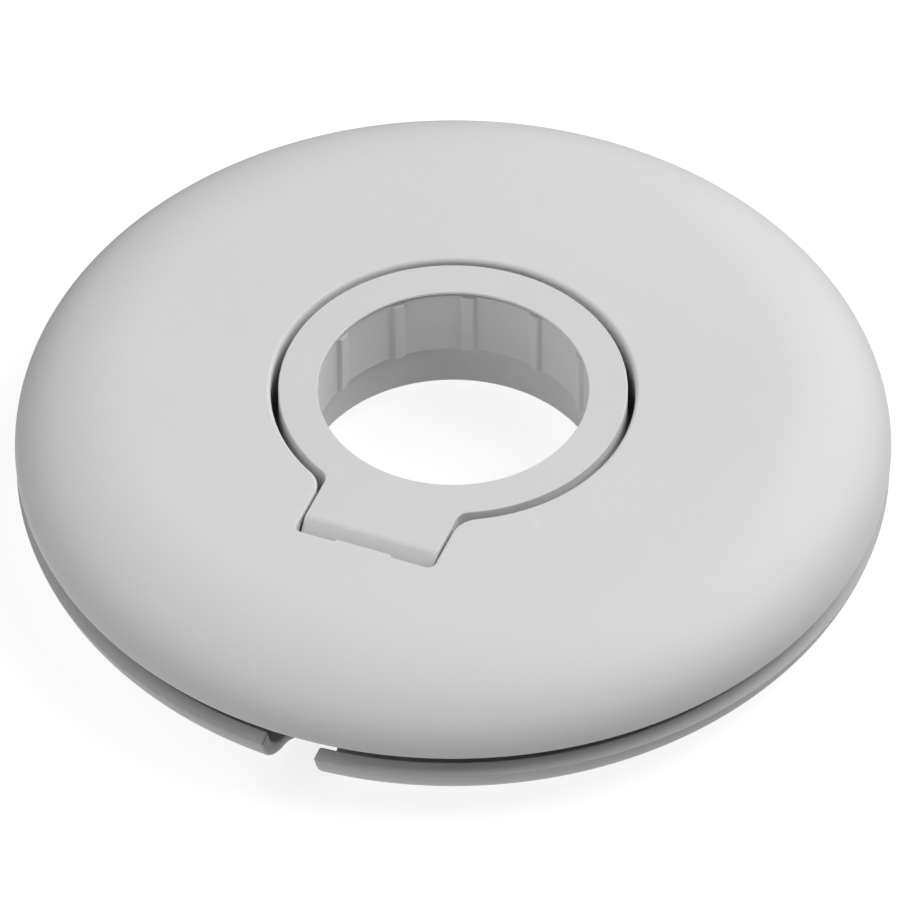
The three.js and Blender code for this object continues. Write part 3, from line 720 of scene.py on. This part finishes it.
def ribbed_sleeve():
    """The soft sleeve in the ring's bore, whose ribs end short of its top and have rounded caps."""
    count = RIB_COUNT * 60
    angles = (np.arange(count) + 0.5) * 2 * math.pi / count
    pitch = 2 * math.pi / RIB_COUNT
    from_rib = (np.mod(angles + math.pi / 2, pitch) - pitch / 2) * BORE
    wave = np.clip((RIB_HALF - np.abs(from_rib)) / RIB_FLANK, 0, 1)
    rib = RIB_HEIGHT * wave * wave * (3 - 2 * wave)
    top, bottom = TOP - LIP - SLEEVE_DROP, RING_BOTTOM
    rib_top = top - 0.1

    def row(r, z):
        r = np.broadcast_to(r, count)
        return np.column_stack([np.cos(angles) * r, np.sin(angles) * r, np.full(count, z)])

    def inside(share, z):
        return row(SLEEVE_WALL - rib * share, z)

    loop = [inside(0, top - 0.08), inside(0, rib_top + 0.03)]
    cap = ((0, 0), (0.55, 0.02), (0.85, 0.07), (1, 0.16), (1, 0.24))
    loop += [inside(share, rib_top - drop) for share, drop in cap]
    loop += [inside(1, z) for z in np.linspace(rib_top - 1, bottom + 0.5, 6)]
    loop += [inside(1, bottom + 0.26), inside(0.9, bottom + 0.14)]
    # Round the foot, up the outside past the flange, and over the top.
    outer = POCKET - GAP
    outside = ((SLEEVE_WALL + 0.02, bottom + 0.08), (SLEEVE_WALL + 0.1, bottom), (outer - 0.06, bottom),
               (outer, bottom + 0.06), (outer, bottom + 1.2), (SLEEVE_FLANGE, bottom + 1.2),
               (SLEEVE_FLANGE, bottom + 1.75), (outer, bottom + 1.8), (outer, top - 0.06),
               (outer - 0.06, top), (SLEEVE_WALL + 0.08, top))
    loop += [row(r, z) for r, z in outside]
    points = np.stack(loop, 1).reshape(-1, 3)
    sleeve = make_mesh("ribbed_sleeve", points, grid_faces(count, len(loop)))
    return cut(sleeve, [cord_slot()])


def back_plate():
    """The flat ring that closes the underside and traps the sleeve's flange."""
    low, high = RING_BOTTOM, PLATE_HIGH[2]
    outline = rounded([
        (POCKET, low, 0.15), (RING_RADIUS, low, 0.2), (RING_RADIUS, high, 0.1), (POCKET, high, 0.1)])
    made = turned("ring_back_cover", outline, 288)
    return cut(made, [cord_slot()] + [screw_room(x, y, low, RING_SCREW) for x, y in RING_SCREW_PLACES])


# ---------------------------------------------------------------- spool hub and skirt

def hub():
    """The spool: a plate with a chamfered hole and a flange, and the wall that the cord winds on."""
    bottom, flange, wall_top = HUB_LOW[2], HUB_HIGH[0], HUB_HIGH[2]
    outline = rounded([
        (HUB_HOLE, PLATE_TOP, 0.1), (HUB_HOLE, bottom + HUB_CHAMFER, 0.12),
        (HUB_HOLE + HUB_CHAMFER, bottom, 0.12), (flange, bottom, 0.2), (flange, PLATE_TOP, 0.2),
        (WINDING_RADIUS, PLATE_TOP, 0.3), (WINDING_RADIUS, wall_top, 0.2), (WINDING_INNER, wall_top, 0.2),
        (WINDING_INNER, PLATE_TOP, 0.3)])
    made = turned("winding_hub", outline, 288)
    window = block("window", (-WINDOW_HALF, -32, PLATE_TOP + 1.6), (WINDOW_HALF, -24, CLAMP_LOW[2]))
    return cut(made, [window] + [screw_room(x, y, bottom, BASE_SCREW) for x, y in BASE_SCREW_PLACES])


def collar():
    """The wall of the hole under the ring, with the floor of the well round its top."""
    bottom, top, foot = COLLAR_LOW[2], COLLAR_HIGH[2], PLATE_TOP + GAP
    foot_top, floor_bottom, rim = foot + 0.9, top - 1.2, COLLAR_HIGH[0]
    outline = rounded([
        (COLLAR_BORE, top, 0.25), (COLLAR_BORE, bottom, 0.35), (COLLAR_WALL, bottom, 0.15),
        (COLLAR_WALL, foot, 0.05), (COLLAR_FOOT, foot, 0.1), (COLLAR_FOOT, foot_top, 0.2),
        (COLLAR_WALL, foot_top, 0.3), (COLLAR_WALL, floor_bottom, 0.3), (rim, floor_bottom, 0.1),
        (rim, top, 0.15)])
    return turned("well_collar", outline, 288)


def skirt():
    """A soft lip that turns up round the edge, as a thick sheet whose notch and edges are rounded."""
    half, depth, soft = NOTCH_HALF, NOTCH_INNER, NOTCH_ROUND
    bottom, floor = SKIRT_BOTTOM, SKIRT_BOTTOM + SKIRT_FLOOR
    width, drop, rise = SKIRT_WIDEST - SKIRT_FLAT, bottom - SKIRT_WIDEST_Z, floor - SKIRT_WIDEST_Z
    outer_curve = superquarter(SKIRT_FLAT, SKIRT_WIDEST_Z, width, drop, 60, SKIRT_EXPONENT)[::-1]
    width -= SKIRT_LIP_WALL
    inner_curve = superquarter(SKIRT_FLAT, SKIRT_WIDEST_Z, width, rise, 60, SKIRT_EXPONENT)[::-1]
    outer_curve = [(r, z) for r, z in outer_curve if z < 6.45]
    inner_curve = [(r, z) for r, z in inner_curve if z < 6.8]

    # Rows run from the clip over the hub's flange to the lip, and are closest at the notch's end.
    tight = depth + half - half * np.cos(np.linspace(0, math.pi / 2, 14))
    flat = np.concatenate([[35.2, 35.8], tight[tight < SKIRT_FLAT - 0.05]])
    outer_flat = np.column_stack([flat, np.full(len(flat), bottom)])
    inner_flat = np.column_stack([flat, np.full(len(flat), floor)])
    outer = np.concatenate([outer_flat, resample(outer_curve, 44)])
    inner = np.concatenate([inner_flat, resample(inner_curve, 44)])
    # The lip's two facets, and the clip's groove that takes the hub's flange.
    lip = [(45.28, 6.5), (45.26, 6.56), (45.2, 6.59), (43.98, 6.93), (43.85, 6.95), (43.72, 6.92),
           (43.67, 6.86)]
    clip = [(35.1, floor), (33.7, 4.05), (33.6, 4.1), (30.35, 4.1), (30.3, 4.05), (30.3, 2.75),
            (32.15, 2.75), (32.15, 0.85), (30.35, 0.85), (30.3, 0.8), (30.3, bottom + 0.05), (30.35, bottom)]
    loop = np.array([tuple(p) for p in outer] + lip + [tuple(p) for p in inner[::-1]] + clip)
    count = len(loop)
    # Inward normals of the closed outline, for rounding its ends.
    tangent = np.roll(loop, -1, axis=0) - np.roll(loop, 1, axis=0)
    tangent /= np.linalg.norm(tangent, axis=1)[:, None]
    inward = np.column_stack([-tangent[:, 1], tangent[:, 0]])

    r, z = loop.T
    centre = depth + half
    inside = np.clip(half**2 - np.clip(centre - r, 0, None) ** 2, 0, None)
    notch_half = np.where(r > depth, np.sqrt(inside), 0.0)
    start = np.arcsin(np.clip(notch_half / r, -1, 1))
    # Shares of the way round: 0 and 2 are the notch's sides and 1 is opposite. Rows are closest at the notch.
    lip_radius = 43.0
    near = soft * np.sin(np.linspace(0, math.pi / 2, 8))[:-1] ** 1.6
    offsets = np.concatenate([near / lip_radius, np.linspace(soft / lip_radius, math.pi, 170)])
    shares = np.concatenate([offsets / math.pi, (2 - offsets[-2::-1] / math.pi)])
    rows = []
    for share in shares:
        angle = -math.pi / 2 + np.where(share <= 1, start + (math.pi - start) * share,
                                        2 * math.pi - start - (math.pi - start) * (2 - share))
        x, y = r * np.cos(angle), r * np.sin(angle)
        # Distance in plan from the notch, whose inner end is a half circle.
        side = np.abs(x) - half
        end = np.hypot(x, y + centre) - half
        gap = np.where(y < -centre, side, end)
        gap = np.where(y > 0, soft, gap)
        close = np.clip(gap / soft, 0, 1)
        inset = soft * (1 - np.sqrt(1 - (1 - close) ** 2))
        inset = np.minimum(inset, NOTCH_INSET)
        rr = r + inward[:, 0] * inset
        zz = z + inward[:, 1] * inset
        angle = angle + NOTCH_TURN
        rows.append(np.column_stack([rr * np.cos(angle), rr * np.sin(angle), zz]))
    points = np.stack(rows, 0).reshape(-1, 3)
    faces = grid_faces(len(rows), count, closed_rows=False)
    # Walls of the notch, between the outer and the inner curve, at the first row and at the last.
    total = len(outer) + len(lip) + len(inner)
    for base, flip in ((0, False), ((len(rows) - 1) * count, True)):
        for k in range(len(outer) + 3):
            a, b = base + k, base + k + 1
            c, d = base + total - 2 - k, base + total - 1 - k
            if c <= b:
                continue
            face = (a, b, c, d)
            faces.append(face[::-1] if flip else face)
    # The clip's outline closes on itself where there is no notch.
    return make_mesh("cord_lip", points, faces, 40)


# ---------------------------------------------------------------- small pieces

def foot():
    """The flat rubber ring that the part stands on."""
    inner, outer, top = FOOT_INNER, FOOT_OUTER, FOOT_TOP
    outline = rounded([(inner, 0, 0.2), (outer, 0, 0.2), (outer, top, 0.1), (inner, top, 0.1)])
    return turned("foot_pad_ring", outline, 240)


def post(name, x, y, radius, bottom, top):
    """An upright cylinder."""
    return spindle(name, [(0, bottom), (radius, bottom), (radius, top), (0, top)], (x, y, 0), sides=64)


def cord_slot():
    """The way for the puck's cord in the ring's underside, on the tab's side."""
    return block("slot", (-CORD_HALF, -20, 0), (CORD_HALF, -8, RING_BOTTOM + CORD_HEIGHT))


def screw_room(x, y, z, size):
    """The countersink and the clear hole for a screw."""
    head, head_height, shank, length = size
    shank += GAP
    outline = [(0, -1), (head + GAP, -1), (head + GAP, head_height * 0.25 + GAP),
               (shank, head_height + 2 * GAP), (shank, length + 2 * GAP), (0, length + 2 * GAP)]
    return spindle("screw_room", outline, (x, y, z))


def screw(name, x, y, z, size):
    """A countersunk screw that points up, with threads and a cross in its head."""
    head, head_height, shank, length = size
    outline = [(0, 0), (head - 0.08, 0), (head, 0.06), (head, head_height * 0.25), (shank, head_height)]
    pitch = shank * 0.42
    root = shank * 0.84
    turns = int((length - head_height - shank - 0.3) / pitch)
    for i in range(turns):
        low = head_height + 0.15 + i * pitch
        outline += [(root, low), (root, low + 0.2 * pitch)]
        outline += [(shank, low + 0.5 * pitch), (shank, low + 0.6 * pitch)]
    outline += [(root, length - shank), (shank * 0.2, length), (0, length)]
    made = spindle(name, outline, (x, y, z))
    arm, slot, depth = head * 0.6, head * 0.16, head_height * 0.6
    cross = [block("cross_a", (x - arm, y - slot, z - 1), (x + arm, y + slot, z + depth)),
             block("cross_b", (x - slot, y - arm, z - 1), (x + slot, y + arm, z + depth))]
    return cut(made, cross)


def pin():
    """The hinge pin, with chamfered ends."""
    end, radius = PIN_END, PIN_RADIUS
    outline = [(0, -end), (radius - 0.25, -end), (radius - 0.08, -end + 0.06), (radius, -end + 0.25)]
    outline += [(r, -z) for r, z in reversed(outline)]
    return spindle("turned_pin", outline, (0, HINGE_Y, HINGE_Z), "X", 64)


def bush(name, side):
    """A plain bush at one end of the hinge; side is -1 or 1."""
    low, high = sorted((side * (TAB_HALF - 0.02), side * (TAB_HALF - BUSH_LENGTH)))
    bore = PIN_RADIUS + 0.1
    corners = [(bore, low, 0.08), (BUSH_RADIUS, low, 0.1), (BUSH_RADIUS, high, 0.1), (bore, high, 0.08)]
    return turned(name, rounded(corners, 3), 64, (0, HINGE_Y, HINGE_Z), "X")


def clamp():
    """The bar under the hinge, with two posts that hold the pin up and an ear at each end."""
    bottom, half = CLAMP_LOW[2], CLAMP_HALF
    made = block("clamp_bar", (-half, CLAMP_LOW[1], bottom), (half, CLAMP_NEAR, CLAMP_TOP))
    extras = []
    for x, y in CLAMP_SCREW_PLACES:
        side = math.copysign(1, x)
        low_x, high_x = sorted((x, side * (half - 1)))
        extras.append(post("ear", x, y, EAR_RADIUS, bottom, CLAMP_TOP))
        extras.append(block("join", (low_x, y - 2, bottom), (high_x, y + 1.7, CLAMP_TOP)))
        low_x, high_x = sorted((side * (WELL_TAB + 0.4), side * (PIN_END - 0.2)))
        low = (low_x, HINGE_Y - POST_HALF, CLAMP_TOP - 0.5)
        high = (high_x, HINGE_Y + POST_HALF, CLAMP_HIGH[2])
        extras.append(block("support", low, high))
    combine(made, extras, "UNION")
    cut(made, [screw_room(x, y, bottom, CLAMP_SCREW) for x, y in CLAMP_SCREW_PLACES])
    return soften(made, 0.14)


def spring():
    """A bowed leaf of spring steel."""
    half_span, rise, thickness, steps = 1.8, 0.35, 0.3, 20
    bow = (half_span**2 + rise**2) / (2 * rise)
    sweep = math.asin(half_span / bow)
    centre = SPRING_HIGH[2] - bow
    angles = np.linspace(-sweep, sweep, steps + 1)
    yz = [(bow * math.sin(a), bow * math.cos(a)) for a in angles]
    yz += [((bow - thickness) * math.sin(a), (bow - thickness) * math.cos(a)) for a in reversed(angles)]
    points = [(x, HINGE_Y + y, centre + z) for x in (SPRING_LOW[0], SPRING_HIGH[0]) for y, z in yz]
    count = len(yz)
    faces = [(i, (i + 1) % count, count + (i + 1) % count, count + i) for i in range(count)]
    faces += [(k, k + 1, count - 2 - k, count - 1 - k) for k in range(steps)]
    faces += [(count + k, 2 * count - 1 - k, 2 * count - 2 - k, count + k + 1) for k in range(steps)]
    return soften(make_mesh("leaf_spring", points, faces), 0.06, 2)


def build():
    """Makes every piece and says which CAD node it stands for."""
    install(top_shell(), "base", "shell_plastic", SHELL_PLASTIC, "top_shell")
    install(hub(), "base", "shell_plastic", SHELL_PLASTIC, "spool_hub")
    # The collar takes the darker copy of the shell plastic, which is painted shade.
    install(collar(), "base", "shell_plastic", COLLAR_PLASTIC_PAINTED_SHADE, "hole_collar")
    install(skirt(), "base", "soft_skirt", SKIRT_RUBBER, "cord_skirt")
    install(foot(), "base", "foot_rubber", FOOT_RUBBER, "foot_ring")
    install(pin(), "base", "steel", STEEL, "hinge_pin")
    install(clamp(), "base", "acetal", ACETAL, "hinge_clamp")
    install(spring(), "base", "steel", STEEL, "friction_spring")
    install(ring_body(), "ring", "ring_plastic", RING_PLASTIC, "flip_ring")
    install(ribbed_sleeve(), "ring", "grip_rubber", SLEEVE_RUBBER, "grip_sleeve")
    install(back_plate(), "ring", "ring_plastic", RING_PLASTIC, "ring_back_plate")
    install(bush("left_bush", -1), "ring", "acetal", ACETAL, "hinge_bush_left")
    install(bush("right_bush", 1), "ring", "acetal", ACETAL, "hinge_bush_right")
    for body, kind, places, z, size in (
        ("base", "base_screw", BASE_SCREW_PLACES, HUB_LOW[2], BASE_SCREW),
        ("base", "clamp_screw", CLAMP_SCREW_PLACES, CLAMP_LOW[2], CLAMP_SCREW),
        ("ring", "ring_screw", RING_SCREW_PLACES, RING_BOTTOM, RING_SCREW),
    ):
        for i, (x, y) in enumerate(places, 1):
            made = screw(f"threaded_{kind}_{i}", x, y, z, size)
            install(made, body, "steel", STEEL, f"{kind}_{i}")


build()


# ---------------------------------------------------------------- floor, lights and camera

# The camera is far off with a long lens, so the view is nearly parallel. VIEW_WIDTH is what the picture
# takes in across the part. The aim is off the middle of the part's top by AIM_ACROSS and AIM_DOWN.
AZIMUTH = math.radians(21.6)
ELEVATION = math.asin(0.7120)
DISTANCE = 1500.0
VIEW_WIDTH = 94.4662
AIM_ACROSS = 0.46
AIM_DOWN = 7.206
SENSOR_WIDTH = 36.0

forward = Vector((-math.sin(AZIMUTH) * math.cos(ELEVATION), math.cos(AZIMUTH) * math.cos(ELEVATION),
                  -math.sin(ELEVATION)))
right = Vector((math.cos(AZIMUTH), math.sin(AZIMUTH), 0))
up = right.cross(forward)
aim = Vector((0, 0, TOP)) + right * AIM_ACROSS - up * AIM_DOWN
camera_data = bpy.data.cameras.new("camera")
camera_data.sensor_width = SENSOR_WIDTH
camera_data.lens = SENSOR_WIDTH * DISTANCE / VIEW_WIDTH
camera_data.clip_start = 0.01
camera = bpy.data.objects.new("camera", camera_data)
turn = Matrix((right, up, -forward)).transposed().to_4x4()
camera.matrix_world = Matrix.Translation((aim - forward * DISTANCE) * MM) @ turn
bpy.context.scene.collection.objects.link(camera)
bpy.context.scene.camera = camera
bpy.context.scene.view_settings.view_transform = "Standard"

# The floor is a white sweep that glows. Only the camera sees it, and it takes the part's shadow. The light
# that it would throw up on the part comes from the lamp floor_bounce instead.
FLOOR_HALF = 3000.0
FLOOR_Z = -0.02
FLOOR_GLOW = 0.8
floor_corners = [(x * FLOOR_HALF, y * FLOOR_HALF, FLOOR_Z) for x, y in ((-1, -1), (1, -1), (1, 1), (-1, 1))]
floor = make_mesh("floor", floor_corners, [(0, 1, 2, 3)])
floor_material, nodes, links, shader, coordinates = new_material("pale_floor")
shader.inputs["Roughness"].default_value = 0.9
shader.inputs["Specular IOR Level"].default_value = 0.1
links.new(tint(nodes, links, noise(nodes, links, coordinates, 3), (0.29, 0.29, 0.29), (0.31, 0.31, 0.31)),
          shader.inputs["Base Color"])
shader.inputs["Emission Color"].default_value = (1, 1, 1, 1)
shader.inputs["Emission Strength"].default_value = FLOOR_GLOW
floor.data.materials.append(floor_material)
floor.visible_diffuse = False
floor.visible_glossy = False
floor.visible_shadow = False

WORLD_LIGHT = 0.15
world = bpy.data.worlds.new("studio")
world.use_nodes = True
background = world.node_tree.nodes["Background"]
background.inputs["Color"].default_value = (1, 1, 1, 1)
background.inputs["Strength"].default_value = WORLD_LIGHT
bpy.context.scene.world = world


# Metres from the origin to each lamp.
LAMP_DISTANCE = 0.9


def softbox(name, bearing, height, power, size):
    """A square lamp aimed at the origin, placed by its height and its bearing in degrees.

    The bearing runs anticlockwise from the camera's right.
    """
    b, h = AZIMUTH + math.radians(bearing), math.radians(height)
    place = Vector((math.cos(b) * math.cos(h), math.sin(b) * math.cos(h), math.sin(h))) * LAMP_DISTANCE
    data = bpy.data.lights.new(name, "AREA")
    data.energy = power
    data.size = size
    lamp = bpy.data.objects.new(name, data)
    lamp.location = place
    lamp.rotation_euler = (-place).to_track_quat("-Z", "Y").to_euler()
    bpy.context.scene.collection.objects.link(lamp)


# Name, bearing, height, power in watts and width in metres.
softbox("right_key", 0, 55, 5.2, 0.6)
softbox("right_low", 45, 22, 3.1, 0.6)
softbox("left_fill", 180, 55, 1.96, 0.6)
softbox("left_low", -135, 22, 1.85, 0.6)
softbox("floor_bounce", 90, -88, 13.7, 2.0)
